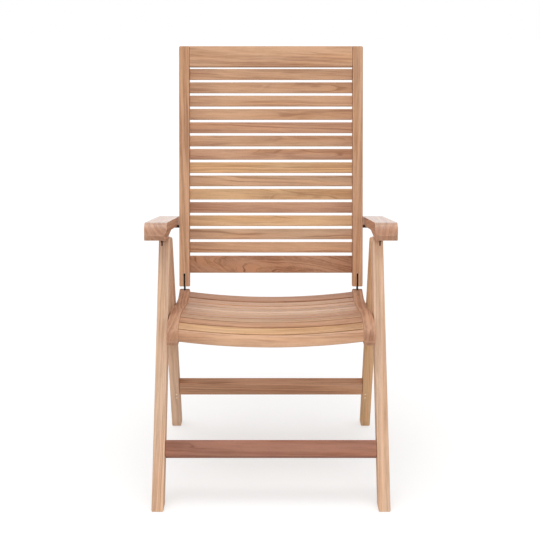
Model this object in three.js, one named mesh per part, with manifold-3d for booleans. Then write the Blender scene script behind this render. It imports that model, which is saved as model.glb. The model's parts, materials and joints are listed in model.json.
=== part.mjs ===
// A folding armchair in teak: two pairs of legs that close like a pair of compasses, a dished seat,
// a high reclining back of horizontal slats, and arms with notches that rest on pegs in the back.
// Millimetres. +X is to the right of someone who faces the chair, +Y runs to the back, +Z is up.
// The origin lies on the floor below the middle of the chair.
import * as THREE from "three";
import { mergeVertices } from "three/addons/utils/BufferGeometryUtils.js";
import Module from "manifold-3d";

const wasm = await Module();
wasm.setup();

// Fits that several pieces share
const seam = 0.3; // between pieces that touch
const overrun = 15; // how far a cutter runs past the face that it cuts
const runningGap = 2; // between a leg and the frame that turns beside it
const boardThickness = 28; // front legs, seat rails and stiles, measured across the chair
const backWidth = 500; // over the outer faces of the back and of the seat
const arcSteps = 8; // straight lengths in a quarter turn
const cornerSteps = 4; // the same, for small corners
const pinSides = 16;
const weldDistance = 1e-4;

// Steel parts
const plateThickness = 3;
const backPlateThickness = 4.5;
const plateRadius = 8; // half the width of a plate, and of its round ends
const pinRadius = 3;
const boltRadius = 5;
const boltHeadRadius = 9;
const boltHeadHeight = 4;
const pegRadius = 4;

// Front legs, measured along the leg from the floor
const legWidth = 45;
const legClearance = 1.5; // between a closed rear leg and its front leg, and below the arm
const frontLean = THREE.MathUtils.degToRad(29.5);
const frontLegLength = 651; // to the middle of its round top
const seatPivotAlong = 448;
const legPlateInset = 8; // from the inner face of a leg to the middle of its hinge plate
const legPlateTail = 36; // from the top pin down to the second pin of that plate

// Rear legs
const rearLean = THREE.MathUtils.degToRad(22.5);
const rearPivotRise = 14; // above the middle of the front leg's round top, along that leg
const rearKerfDepth = 48;
const rearLegThickness = 25.5; // across the chair

// Cross bars between the legs
const stretcherHeight = 40;
const stretcherDepth = 26;
const stretcherSetback = 2; // behind the front faces of the legs
const frontStretcherAlong = 137.5;
const rearStretcherAlong = 141.5; // up the rear leg from the floor
const supportBarSize = 28;
const tenonRadius = 8;
const tenonLength = 16;

// Seat rails, from the nose to the hinge of the back
const seatLength = 452;
const seatPivotFromNose = 104;
const seatPivotHeight = 46; // above the lowest edge of the rail
const seatCrown = 70; // height of the rail's highest point above its lowest edge
const hingeHeight = 32;
const hingeRound = 20; // radius of the rail's rear end
const kerfGap = 0.3; // each side of a plate in its saw slot
const kerfReach = 4; // past the round end of a plate

// The rail's upper edge from the hinge to the nose, as shares of its length and of its crown
const railTopShares = [
  [0.926, 0.644],
  [0.849, 0.601],
  [0.76, 0.623],
  [0.672, 0.673],
  [0.592, 0.737],
  [0.497, 0.808],
  [0.373, 0.93],
  [0.254, 1],
  [0.138, 0.97],
  [0.07, 0.894],
  [0.021, 0.737],
  [0, 0.425],
];
// Its lower edge from the nose back to the hinge
const railUnderShares = [
  [0.012, 0.245],
  [0.23, 0.3],
  [0.42, 0.11],
  [0.6, 0],
  [0.87, 0],
];
const railTopSteps = 36;

// Seat slats
const seatSlatCount = 12;
const seatSlatGap = 8;
const seatSlatThickness = 14;
const seatSlatSink = 4; // below the upper edge of the rails
const seatSlatStart = 7; // from the crown of the rail's rear end to the first slat
const seatDish = 14.5; // how much lower the middle of a slat lies than its ends
const seatDishSteps = 10;
const seatSlatSteps = 4;
const cleatLength = 28;
const cleatHeight = 22;

// Back frame, measured up the back from its hinge pin
const backLean = THREE.MathUtils.degToRad(11.3);
const backLength = 653.6;
const stileDepth = 30;
const stileFoot = 20; // from the hinge pin down to the end of a stile
const hingeGap = 7; // between the end of a stile and the round end of a seat rail
const hingePlateTail = 7.4; // from the upper hinge pin up to the middle of its plate's round end
const backRailDepth = 22;
const topRailSetback = 0.5; // behind the front faces of the stiles
const bottomRailSetback = 4;
const topRailHeight = 55.6;
const bottomRailHeight = 46.8;
const bottomRailRise = 37.2; // from the end of a stile to the lower edge of the bottom rail
const backSlatCount = 14;
const backSlatHeight = 29.2;
const backSlatLift = 1.3; // how far the slats sit above the middle of their space
const backSlatDepth = 10;
const backSlatSetback = 5; // behind the front faces of the stiles

// Arms
const armGap = 7; // between a stile and an arm
const armWidth = 56;
const armLength = 452;
const armNoseReach = 64; // in front of the link pin in the leg
const armNoseFace = 13; // height of the flat end of the nose
const armNoseRound = 38; // length of the curve over the nose
const armFrontHeight = 39.5;
const armFlat = 151; // length of the level stretch under the nose
const armFall = THREE.MathUtils.degToRad(7.7);
const armEndRound = 8;
const armCornerRound = 12;
const armPinBack = 30; // from the nose to the pin of the link in the arm
const armPinRise = 12.5; // above the underside
const linkInset = 20; // from the inner face of a leg to the middle of the link
const linkRadius = 7;
const armPinLength = 34;

// Notches for the pegs
const notchCount = 5;
const reclineStep = THREE.MathUtils.degToRad(7.5);
const notchDepth = 4;
const notchRadius = 5.5;
const notchReach = 20; // into the arm from its inner face
const pegReach = 18; // into the arm, in its notch
const pegAnchor = 18; // how deep a peg sits in its stile

const materials = {
  teak: new THREE.MeshStandardMaterial({ color: 0xcda27c, roughness: 0.6 }),
  warmTeak: new THREE.MeshStandardMaterial({ color: 0xb07a5e, roughness: 0.62 }),
  paleTeak: new THREE.MeshStandardMaterial({ color: 0xdbb48f, roughness: 0.58 }),
  darkSteel: new THREE.MeshStandardMaterial({ color: 0x3a302a, roughness: 0.45, metalness: 0.8 }),
  brightSteel: new THREE.MeshStandardMaterial({ color: 0xb9b7b2, roughness: 0.32, metalness: 1 }),
};

const sides = { left: -1, right: 1 };
const outerFace = backWidth / 2;
const innerFace = outerFace - boardThickness;
const boardMiddle = outerFace - boardThickness / 2;
const legInner = outerFace + runningGap;
const legMiddle = legInner + boardThickness / 2;
const legOuter = legInner + boardThickness;
const rearLegOuter = legInner + rearLegThickness;
const legHalf = legWidth / 2;
const armInner = outerFace + armGap;
const armOuter = armInner + armWidth;
const kerfWidth = plateThickness + 2 * kerfGap;
const backKerfWidth = backPlateThickness + 2 * kerfGap;
const stileKerfTop = hingePlateTail + plateRadius + 2 * kerfGap;

// Solids and booleans

function solidOf(geometry) {
  const bare = geometry.clone();
  bare.deleteAttribute("normal");
  bare.deleteAttribute("uv");
  const merged = mergeVertices(bare, weldDistance);
  return new wasm.Manifold(
    new wasm.Mesh({
      numProp: 3,
      vertProperties: merged.attributes.position.array,
      triVerts: new Uint32Array(merged.index.array),
    }),
  );
}

function geometryOf(solid) {
  const mesh = solid.getMesh();
  const geometry = new THREE.BufferGeometry();
  geometry.setAttribute("position", new THREE.BufferAttribute(mesh.vertProperties, 3));
  geometry.setIndex(new THREE.BufferAttribute(mesh.triVerts, 1));
  geometry.computeVertexNormals();
  return geometry;
}

const cut = (geometry, cutters) =>
  geometryOf(cutters.reduce((rest, cutter) => rest.subtract(solidOf(cutter)), solidOf(geometry)));

const join = (first, ...others) =>
  geometryOf(others.reduce((whole, other) => whole.add(solidOf(other)), solidOf(first)));

// A side view in (Y, Z), given a thickness along X and centred on x.
const sideView = new THREE.Matrix4().makeBasis(
  new THREE.Vector3(0, 1, 0),
  new THREE.Vector3(0, 0, 1),
  new THREE.Vector3(1, 0, 0),
);
function board(outline, thickness, x = 0) {
  const geometry = new THREE.ExtrudeGeometry(outline, {
    depth: thickness,
    bevelEnabled: false,
    curveSegments: arcSteps,
  });
  geometry.translate(0, 0, -thickness / 2);
  return geometry.applyMatrix4(sideView).translate(x, 0, 0);
}

// A round bar along X between two places, at a point of the side view.
function crossPin(radius, fromX, toX, at) {
  const length = Math.abs(toX - fromX);
  const bar = new THREE.CylinderGeometry(radius, radius, length, pinSides);
  return bar.rotateZ(Math.PI / 2).translate((fromX + toX) / 2, at.x, at.y);
}

// A block from its least and greatest corners.
function block(low, high) {
  const size = high.clone().sub(low);
  const middle = low.clone().add(high).multiplyScalar(0.5);
  return new THREE.BoxGeometry(size.x, size.y, size.z).translate(middle.x, middle.y, middle.z);
}

// A saw slot of a plate's width, over a stretch across and along the piece.
function kerf(x, across, along, width = kerfWidth) {
  return block(
    new THREE.Vector3(x - width / 2, across[0], along[0]),
    new THREE.Vector3(x + width / 2, across[1], along[1]),
  );
}

// A plate with a round end about each of its pins, which are listed anticlockwise.
function plateOutline(centres, radius) {
  const outline = new THREE.Shape();
  const facing = (a, b) => Math.atan2(b.y - a.y, b.x - a.x) - Math.PI / 2;
  centres.forEach((centre, i) => {
    const before = centres[(i + centres.length - 1) % centres.length];
    const after = centres[(i + 1) % centres.length];
    outline.absarc(centre.x, centre.y, radius, facing(before, centre), facing(centre, after), false);
  });
  outline.closePath();
  return outline;
}
function addPinHole(outline, centre) {
  const hole = new THREE.Path();
  hole.absarc(centre.x, centre.y, pinRadius + seam, 0, 2 * Math.PI, true);
  outline.holes.push(hole);
}

const chair = new THREE.Group();
function addMesh(group, name, geometry, material) {
  const mesh = new THREE.Mesh(geometry, material);
  mesh.name = name;
  group.add(mesh);
  return mesh;
}
function addGroup(at, turn) {
  const group = new THREE.Group();
  group.position.set(0, at.x, at.y);
  group.rotation.x = turn;
  chair.add(group);
  return group;
}

// Places in the side view, as (Y, Z) measured from the front edge of the front feet

const origin = new THREE.Vector2();
const frontFoot = new THREE.Vector2(legHalf / Math.cos(frontLean), 0);
const frontPoint = (along, across) =>
  new THREE.Vector2(across, along).rotateAround(origin, -frontLean).add(frontFoot);
const linkPin = frontPoint(frontLegLength, 0);
const platePinBelow = frontPoint(frontLegLength - legPlateTail, 0);
const seatPivot = frontPoint(seatPivotAlong, 0);
const rearPivot = frontPoint(frontLegLength + rearPivotRise, legWidth + legClearance);
const rearLegLength = rearPivot.y / Math.cos(rearLean);
const seatBase = new THREE.Vector2(seatPivot.x - seatPivotFromNose, seatPivot.y - seatPivotHeight);
const seatPoint = ([along, up]) =>
  new THREE.Vector2(seatBase.x + along * seatLength, seatBase.y + up * seatCrown);
const lowerHinge = new THREE.Vector2(seatBase.x + seatLength, seatBase.y + hingeHeight);
const upBack = new THREE.Vector2(Math.sin(backLean), Math.cos(backLean));
const hingePlateLength = hingeRound + hingeGap + stileFoot;
const upperHinge = lowerHinge.clone().addScaledVector(upBack, hingePlateLength);

const armUnder = linkPin.y + legHalf + legClearance;
const armNose = linkPin.x - armNoseReach;
const armEnd = armNose + armLength;
const armPin = new THREE.Vector2(armNose + armPinBack, armUnder + armPinRise);
const armBend = new THREE.Vector2(armNose + armFlat, armUnder);
const downArm = new THREE.Vector2(Math.cos(armFall), -Math.sin(armFall));
const offArm = new THREE.Vector2(Math.sin(armFall), Math.cos(armFall));

// The pegs sit where the stiles cross the line on which the notches hold them.
const pegRest = notchDepth - pegRadius - seam;
const heightOverArmLine = (point) => point.clone().sub(armBend).dot(offArm);
const pegUp = (pegRest - heightOverArmLine(upperHinge)) / upBack.dot(offArm);
const peg = upperHinge.clone().addScaledVector(upBack, pegUp);

// Where the notches lie: each holds the peg at one step of the recline.
function notchCentre(step) {
  const reclined = peg.clone().rotateAround(upperHinge, -step * reclineStep);
  const reach = reclined.distanceTo(armPin);
  const drop = heightOverArmLine(armPin) - pegRest;
  const foot = armPin.clone().addScaledVector(offArm, -heightOverArmLine(armPin));
  const along = Math.sqrt(reach * reach - drop * drop);
  return foot.addScaledVector(downArm, along).addScaledVector(offArm, notchDepth - notchRadius);
}

// Legs

// A leg along +Z from the floor at the origin, with a round top and a foot cut level.
function legOutline(length, lean) {
  const rise = legHalf * Math.tan(lean);
  const outline = new THREE.Shape();
  outline.moveTo(-legHalf, -rise);
  outline.lineTo(legHalf, rise);
  outline.lineTo(legHalf, length);
  outline.absarc(0, length, legHalf, 0, Math.PI, false);
  outline.closePath();
  return outline;
}

// A hole across a leg, from its inner side to its outer side unless it stops short.
function legHole(side, radius, at, fromX = legInner - overrun, toX = legOuter + overrun) {
  return crossPin(radius + seam, side * fromX, side * toX, at);
}
const tenonEnd = legInner + tenonLength + seam;
const tenonHole = (side, at) => legHole(side, tenonRadius, at, legInner - overrun, tenonEnd);

const frontFrame = addGroup(frontFoot, -frontLean);
const rearFoot = new THREE.Vector2(rearPivot.x + rearLegLength * Math.sin(rearLean), 0);
const rearFrame = addGroup(rearFoot, rearLean);

const stretcherAcross = -legHalf + stretcherSetback + stretcherDepth / 2;
const frontStretcher = new THREE.Vector2(stretcherAcross, frontStretcherAlong);
const rearStretcher = new THREE.Vector2(stretcherAcross, rearStretcherAlong);

// The bar that the seat rails rest on lies level, in line with the rear legs.
const supportBarZ = seatBase.y - seam - supportBarSize / 2;
const supportBar = new THREE.Vector2(rearFoot.x - supportBarZ * Math.tan(rearLean), supportBarZ);
const supportBarInLeg = supportBar.clone().sub(rearFoot).rotateAround(origin, -rearLean);

function addFrontLeg(name, side) {
  const plateX = side * (legInner + legPlateInset);
  const linkX = side * (legInner + linkInset);
  const pivot = new THREE.Vector2(0, seatPivotAlong);
  const holes = [
    legHole(side, pinRadius, new THREE.Vector2(0, frontLegLength)),
    legHole(side, pinRadius, new THREE.Vector2(0, frontLegLength - legPlateTail)),
    legHole(side, boltRadius, pivot),
    legHole(side, boltHeadRadius, pivot, legOuter - boltHeadHeight - 2 * seam),
    tenonHole(side, frontStretcher),
  ];
  const plateSlot = kerf(
    plateX,
    [-plateRadius - kerfReach, legHalf + overrun],
    [frontLegLength - legPlateTail - plateRadius - kerfReach, frontLegLength + legHalf + overrun],
  );
  const linkSlot = kerf(
    linkX,
    [-legHalf - overrun, linkRadius + legClearance],
    [frontLegLength - linkRadius - legClearance, frontLegLength + legHalf + overrun],
  );
  const leg = board(legOutline(frontLegLength, frontLean), boardThickness, side * legMiddle);
  addMesh(frontFrame, name, cut(leg, [plateSlot, linkSlot, ...holes]), materials.paleTeak);
}

function addRearLeg(name, side) {
  const plateX = side * (legInner + legPlateInset);
  const plateSlot = kerf(
    plateX,
    [-legHalf - overrun, legHalf + overrun],
    [rearLegLength - rearKerfDepth, rearLegLength + legHalf + overrun],
  );
  const holes = [
    legHole(side, pinRadius, new THREE.Vector2(0, rearLegLength)),
    tenonHole(side, rearStretcher),
    tenonHole(side, supportBarInLeg),
  ];
  const middle = (side * (legInner + rearLegOuter)) / 2;
  const leg = board(legOutline(rearLegLength, -rearLean), rearLegThickness, middle);
  addMesh(rearFrame, name, cut(leg, [plateSlot, ...holes]), materials.teak);
}

// A bar between the legs of one pair, with a round tenon at each end.
function crossBar(depth, height, at) {
  const half = legInner - seam;
  const tenon = legInner + tenonLength;
  const low = new THREE.Vector3(-half, at.x - depth / 2, at.y - height / 2);
  const high = new THREE.Vector3(half, at.x + depth / 2, at.y + height / 2);
  return join(block(low, high), crossPin(tenonRadius, -tenon, tenon, at));
}

function addLegs() {
  for (const [side, sign] of Object.entries(sides)) {
    addFrontLeg("front_leg_" + side, sign);
    addRearLeg("rear_leg_" + side, sign);
  }
  const frontBar = crossBar(stretcherDepth, stretcherHeight, frontStretcher);
  addMesh(frontFrame, "front_stretcher", frontBar, materials.warmTeak);
  const rearBar = crossBar(stretcherDepth, stretcherHeight, rearStretcher);
  addMesh(rearFrame, "rear_stretcher", rearBar, materials.warmTeak);
  const restBar = crossBar(supportBarSize, supportBarSize, supportBar);
  addMesh(chair, "seat_support_bar", restBar, materials.teak);
}

// The plate in the top of a front leg, which carries the rear leg, with its second pin in one piece.
function addLegPlate(name, side) {
  const outline = plateOutline([platePinBelow, rearPivot, linkPin], plateRadius);
  addPinHole(outline, linkPin);
  addPinHole(outline, rearPivot);
  const plate = board(outline, plateThickness, side * (legInner + legPlateInset));
  const pin = crossPin(pinRadius, side * (legInner + seam), side * (legOuter - seam), platePinBelow);
  addMesh(chair, name, join(plate, pin), materials.darkSteel);
}

// A shoulder bolt: head in the leg, collar in the running gap, shank through the seat rail.
function addSeatBolt(name, side) {
  const headFrom = side * (legOuter - boltHeadHeight - seam);
  const shank = crossPin(boltRadius, side * (innerFace + seam), headFrom, origin);
  const collar = crossPin(boltHeadRadius, side * (outerFace + seam), side * (legInner - seam), origin);
  const head = crossPin(boltHeadRadius, headFrom, side * (legOuter - seam), origin);
  const bolt = addMesh(chair, name, join(shank, collar, head), materials.brightSteel);
  bolt.position.set(0, seatPivot.x, seatPivot.y);
}

function addPin(name, side, fromX, toX, at) {
  const pin = crossPin(pinRadius, side * fromX, side * toX, origin);
  addMesh(chair, name, pin, materials.brightSteel).position.set(0, at.x, at.y);
}

function addLegHardware() {
  for (const [side, sign] of Object.entries(sides)) {
    addLegPlate("leg_hinge_plate_" + side, sign);
    addSeatBolt("seat_pivot_bolt_" + side, sign);
    addPin("leg_top_pin_" + side, sign, legInner + seam, legOuter - seam, linkPin);
    addPin("rear_leg_pin_" + side, sign, legInner + seam, rearLegOuter - seam, rearPivot);
  }
}

// Seat

const railTop = [
  new THREE.Vector2(lowerHinge.x, lowerHinge.y + hingeRound),
  ...railTopShares.map(seatPoint),
];
const seatLine = new THREE.SplineCurve(railTop);

function railOutline() {
  const outline = new THREE.Shape();
  outline.absarc(lowerHinge.x, lowerHinge.y, hingeRound, -Math.PI / 2, Math.PI / 2, false);
  const edge = [...seatLine.getPoints(railTopSteps).slice(1), ...railUnderShares.map(seatPoint)];
  edge.forEach((point) => outline.lineTo(point.x, point.y));
  outline.closePath();
  return outline;
}

function addSeatRail(name, side) {
  const slot = kerf(
    side * boardMiddle,
    [lowerHinge.x - plateRadius - 2 * kerfGap, lowerHinge.x + hingeRound + overrun],
    [lowerHinge.y - hingeRound - overrun, lowerHinge.y + hingeRound + overrun],
    backKerfWidth,
  );
  const from = side * (innerFace - overrun);
  const to = side * (outerFace + overrun);
  const boltHole = crossPin(boltRadius + seam, from, to, seatPivot);
  const hingeHole = crossPin(pinRadius + seam, from, to, lowerHinge);
  const rail = board(railOutline(), boardThickness, side * boardMiddle);
  addMesh(chair, name, cut(rail, [slot, boltHole, hingeHole]), materials.teak);
}

// One slat follows a stretch of the rails' upper edge and sags towards its middle.
const seatRun = seatLine.getLength() - seatSlatStart;
const seatSlatWidth = (seatRun + seatSlatGap) / seatSlatCount - seatSlatGap;

function seatSlatOutline(start) {
  const upper = [];
  const lower = [];
  for (let i = 0; i <= seatSlatSteps; i += 1) {
    const share = Math.min((start + (seatSlatWidth * i) / seatSlatSteps) / seatLine.getLength(), 1);
    const point = seatLine.getPointAt(share);
    const along = seatLine.getTangentAt(share);
    const inward = new THREE.Vector2(-along.y, along.x);
    upper.push(point.clone().addScaledVector(inward, seatSlatSink));
    lower.push(point.clone().addScaledVector(inward, seatSlatSink + seatSlatThickness));
  }
  return new THREE.Shape([...lower, ...upper.reverse()]);
}

function addSeatSlat(name, start) {
  const half = innerFace - seam;
  const slat = new THREE.ExtrudeGeometry(seatSlatOutline(start), {
    depth: 2 * half,
    steps: seatDishSteps,
    bevelEnabled: false,
  });
  slat.translate(0, 0, -half).applyMatrix4(sideView);
  const place = slat.attributes.position;
  for (let i = 0; i < place.count; i += 1) {
    const out = place.getX(i) / half;
    place.setZ(i, place.getZ(i) - seatDish * (1 - out * out));
  }
  slat.computeVertexNormals();
  addMesh(chair, name, slat, materials.teak);
}

// A cleat under each rail keeps the rear legs from spreading.
function addCleat(name, side) {
  const front = supportBar.x + supportBarSize / 2 + seam;
  const top = seatBase.y - seam;
  const cleat = block(
    new THREE.Vector3(-boardThickness / 2, 0, -cleatHeight),
    new THREE.Vector3(boardThickness / 2, cleatLength, 0),
  );
  addMesh(chair, name, cleat, materials.teak).position.set(side * boardMiddle, front, top);
}

function addSeat() {
  for (const [side, sign] of Object.entries(sides)) {
    addSeatRail("seat_rail_" + side, sign);
    addCleat("seat_stop_cleat_" + side, sign);
  }
  for (let i = 0; i < seatSlatCount; i += 1) {
    const name = "seat_slat_" + String(i + 1).padStart(2, "0");
    addSeatSlat(name, seatSlatStart + i * (seatSlatWidth + seatSlatGap));
  }
}

// Back: its group stands on the upper hinge pin and leans with the stiles

const backFrame = addGroup(upperHinge, -backLean);
const backTop = backLength - stileFoot;
const bottomRailLow = bottomRailRise - stileFoot;
const slatSpace = backTop - topRailHeight - bottomRailLow - bottomRailHeight;
const backSlatGap = (slatSpace - backSlatCount * backSlatHeight) / (backSlatCount + 1);
const firstSlatLow = bottomRailLow + bottomRailHeight + backSlatGap + backSlatLift;

function addStile(name, side) {
  const stile = block(
    new THREE.Vector3(side * boardMiddle - boardThickness / 2, -stileDepth / 2, -stileFoot),
    new THREE.Vector3(side * boardMiddle + boardThickness / 2, stileDepth / 2, backTop),
  );
  const slot = kerf(
    side * boardMiddle,
    [-stileDepth / 2 - overrun, stileDepth / 2 + overrun],
    [-stileFoot - overrun, stileKerfTop],
    backKerfWidth,
  );
  const outside = side * (outerFace + overrun);
  const hingeHole = crossPin(pinRadius + seam, side * (innerFace - overrun), outside, origin);
  const pegAt = new THREE.Vector2(0, pegUp);
  const pegHole = crossPin(pegRadius + seam, side * (outerFace - pegAnchor - seam), outside, pegAt);
  addMesh(backFrame, name, cut(stile, [slot, hingeHole, pegHole]), materials.teak);
}

// A horizontal member between the stiles, from its front face and its lower edge.
function addBackBar(name, front, depth, low, height, material = materials.teak) {
  const half = innerFace - seam;
  const bar = block(new THREE.Vector3(-half, 0, 0), new THREE.Vector3(half, depth, height));
  addMesh(backFrame, name, bar, material).position.set(0, front, low);
}

function addBack() {
  for (const [side, sign] of Object.entries(sides)) {
    addStile("back_stile_" + side, sign);
    addPeg("arm_peg_" + side, sign);
    addBackPlate("back_hinge_plate_" + side, sign);
  }
  const topFront = -stileDepth / 2 + topRailSetback;
  addBackBar("back_top_rail", topFront, backRailDepth, backTop - topRailHeight, topRailHeight);
  const bottomFront = -stileDepth / 2 + bottomRailSetback;
  const bottomTeak = materials.warmTeak;
  addBackBar("back_bottom_rail", bottomFront, backRailDepth, bottomRailLow, bottomRailHeight, bottomTeak);
  const slatFront = -stileDepth / 2 + backSlatSetback;
  for (let i = 0; i < backSlatCount; i += 1) {
    const low = firstSlatLow + i * (backSlatHeight + backSlatGap);
    const name = "back_slat_" + String(i + 1).padStart(2, "0");
    addBackBar(name, slatFront, backSlatDepth, low, backSlatHeight);
  }
}

// A plate that joins a stile to its seat rail, with a pin for each in one piece.
function addBackPlate(name, side) {
  const top = upperHinge.clone().addScaledVector(upBack, hingePlateTail);
  const outline = plateOutline([lowerHinge, top], plateRadius);
  const plate = board(outline, backPlateThickness, side * boardMiddle);
  const pins = [lowerHinge, upperHinge].map((at) =>
    crossPin(pinRadius, side * (innerFace + seam), side * (outerFace - seam), at),
  );
  addMesh(chair, name, join(plate, ...pins), materials.darkSteel);
}

function addPeg(name, side) {
  const bar = crossPin(pegRadius, side * (outerFace - pegAnchor), side * (armInner + pegReach), origin);
  addMesh(chair, name, bar, materials.darkSteel).position.set(0, peg.x, peg.y);
}

// Arms

function armOutline() {
  const crest = new THREE.Vector2(armNose + armNoseRound, armUnder + armFrontHeight);
  const fall = Math.tan(armFall);
  const underEnd = armUnder - (armEnd - armBend.x) * fall;
  const topEnd = crest.y - (armEnd - crest.x) * fall;
  const outline = new THREE.Shape();
  outline.moveTo(armNose, armUnder);
  outline.lineTo(armBend.x, armUnder);
  outline.lineTo(armEnd, underEnd);
  outline.lineTo(armEnd, topEnd - armEndRound);
  outline.quadraticCurveTo(armEnd, topEnd, armEnd - armEndRound, topEnd + armEndRound * fall);
  outline.lineTo(crest.x, crest.y);
  const lift = armNoseRound / 2;
  outline.quadraticCurveTo(crest.x - lift, crest.y + lift * fall, armNose, armUnder + armNoseFace);
  outline.closePath();
  return outline;
}

// The arm seen from above, with its corners rounded.
function armPlan(side) {
  const inner = side * armInner;
  const outer = side * armOuter;
  const low = Math.min(inner, outer);
  const high = Math.max(inner, outer);
  const r = armCornerRound;
  const outline = new THREE.Shape();
  outline.absarc(high - r, armEnd - r, r, 0, Math.PI / 2, false);
  outline.absarc(low + r, armEnd - r, r, Math.PI / 2, Math.PI, false);
  outline.absarc(low + r, armNose + r, r, Math.PI, 1.5 * Math.PI, false);
  outline.absarc(high - r, armNose + r, r, 1.5 * Math.PI, 2 * Math.PI, false);
  outline.closePath();
  const height = armUnder + armFrontHeight + overrun;
  const options = { depth: height, bevelEnabled: false, curveSegments: cornerSteps };
  return new THREE.ExtrudeGeometry(outline, options);
}

function addArm(name, side) {
  const profile = board(armOutline(), armWidth, (side * (armInner + armOuter)) / 2);
  const arm = geometryOf(solidOf(profile).intersect(solidOf(armPlan(side))));
  const linkX = side * (legInner + linkInset);
  const sweep = plateOutline([linkPin, armPin], linkRadius + legClearance);
  const swing = 2 * linkRadius + legClearance;
  const linkSlots = [
    board(sweep, kerfWidth, linkX),
    kerf(linkX, [armPin.x - swing, linkPin.x + swing], [armUnder - overrun, armPin.y]),
  ];
  const from = side * (armInner - overrun);
  const pinHole = crossPin(pinRadius + seam, from, side * (armInner + armPinLength + 2 * seam), armPin);
  const notches = Array.from({ length: notchCount }, (_, step) =>
    crossPin(notchRadius, from, side * (armInner + notchReach), notchCentre(step)),
  );
  addMesh(chair, name, cut(arm, [...linkSlots, pinHole, ...notches]), materials.paleTeak);
}

function addArmLink(name, side) {
  const outline = plateOutline([linkPin, armPin], linkRadius);
  addPinHole(outline, linkPin);
  addPinHole(outline, armPin);
  addMesh(chair, name, board(outline, plateThickness, side * (legInner + linkInset)), materials.darkSteel);
}

function addArms() {
  for (const [side, sign] of Object.entries(sides)) {
    addArm("arm_" + side, sign);
    addArmLink("arm_link_" + side, sign);
    addPin("arm_pin_" + side, sign, armInner + seam, armInner + armPinLength, armPin);
  }
}

addLegs();
addLegHardware();
addSeat();
addBack();
addArms();

// Centre the chair over its origin, front to back.
const box = new THREE.Box3().setFromObject(chair, true);
chair.position.y = -(box.min.y + box.max.y) / 2;

export default chair;
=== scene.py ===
"""A folding teak armchair: every board shaped with its edges rounded over, and dressed in planed teak."""

import json
import math
import random

import bpy
from mathutils import Euler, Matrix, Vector


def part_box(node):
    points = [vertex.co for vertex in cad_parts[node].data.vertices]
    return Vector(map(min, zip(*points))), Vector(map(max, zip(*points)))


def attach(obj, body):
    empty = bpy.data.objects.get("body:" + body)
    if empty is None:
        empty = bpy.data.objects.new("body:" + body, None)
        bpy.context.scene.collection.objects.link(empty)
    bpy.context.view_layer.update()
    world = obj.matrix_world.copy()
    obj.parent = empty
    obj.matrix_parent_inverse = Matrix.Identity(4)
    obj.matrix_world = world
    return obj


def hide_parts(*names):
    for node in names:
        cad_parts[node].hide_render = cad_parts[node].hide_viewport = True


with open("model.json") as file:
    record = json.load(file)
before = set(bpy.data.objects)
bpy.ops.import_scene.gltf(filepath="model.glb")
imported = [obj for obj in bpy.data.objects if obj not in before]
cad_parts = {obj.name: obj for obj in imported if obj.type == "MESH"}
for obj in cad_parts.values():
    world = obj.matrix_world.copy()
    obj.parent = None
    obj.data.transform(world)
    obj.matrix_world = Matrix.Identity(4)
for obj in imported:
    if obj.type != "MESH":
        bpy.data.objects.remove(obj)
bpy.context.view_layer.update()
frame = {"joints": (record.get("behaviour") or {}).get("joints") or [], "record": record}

PIVOTS = {joint["name"]: Vector(joint["pos_m"]) for joint in frame["joints"]}
BODIES = {node: body for body, nodes in frame["record"]["behaviour"]["bodies"].items() for node in nodes}
SIDES = ("left", "right")

# Sizes in metres, angles in radians
SMOOTH_BELOW = math.radians(40)
EDGE_ABOVE = math.radians(30)
RIM_ABOVE = math.radians(60)
SEAM = 0.0003
OVERRUN = 0.015
BOARD = 0.028
EASE = 0.0025
FRAME_OUTER = 0.25
FRAME_INNER = FRAME_OUTER - BOARD
FRAME_MIDDLE = FRAME_OUTER - BOARD / 2
LEG_INNER = FRAME_OUTER + 0.002
LEG_OUTER = LEG_INNER + BOARD
LEG_WIDTH = 0.045
PLATE = 0.003
PLATE_ROUND = 0.008
STEEL_EASE = 0.0005
PIN = 0.003
PIN_EASE = 0.0006
PIN_HOLE = PIN + SEAM
KERF = PLATE + 2 * SEAM
KERF_REACH = 0.004
BACK_PLATE = 0.0045
BACK_KERF = BACK_PLATE + 2 * SEAM

FRONT_LEAN = math.radians(29.5)
FRONT_LENGTH = 0.651
LEG_CLEARANCE = 0.0015
PLATE_TAIL = 0.036
PLATE_X = LEG_INNER + 0.008
LINK_X = LEG_INNER + 0.020
LINK_ROUND = 0.007
SEAT_PIVOT_ALONG = 0.448
REAR_LEAN = math.radians(22.5)
REAR_KERF = 0.048
REAR_OUTER = LEG_INNER + 0.0255
DOWEL = 0.0021
DOWEL_LENGTH = 0.012
DOWEL_EASE = 0.0004
DOWEL_PROUD = 0.0003
DOWEL_RISES = (0.1125, 0.1245)
BOLT = 0.005
BOLT_EASE = 0.0008
BOLT_HEAD = 0.009
BOLT_HEAD_HEIGHT = 0.004
COLLAR_EASE = 0.0003
KEY_SOCKET = 0.0042
KEY_SOCKET_SHARE = 0.7
STRETCHER_SETBACK = 0.002
STRETCHER_DEPTH = 0.026
STRETCHER_HEIGHT = 0.040
FRONT_STRETCHER_RISE = 0.1375
REAR_STRETCHER_RISE = 0.1415

SEAT_LENGTH = 0.452
SEAT_PIVOT_BACK = 0.104
SEAT_PIVOT_RISE = 0.046
SEAT_CROWN = 0.070
HINGE_ROUND = 0.020
SLAT_COUNT = 12
SLAT_GAP = 0.008
SLAT_THICKNESS = 0.014
SLAT_SINK = 0.004
SLAT_START = 0.007
SLAT_EASE = 0.0018
SLAT_STEPS = 6
SLAT_CORNER_ANGLE = 2.0
NOSE_SLAT_EXTRA = 0.005
NOSE_GROOVE = 0.0013
DISH = 0.0145
DISH_STEPS = 16
RAIL_STEPS = 12
RAIL_THINNING = 4

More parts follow.
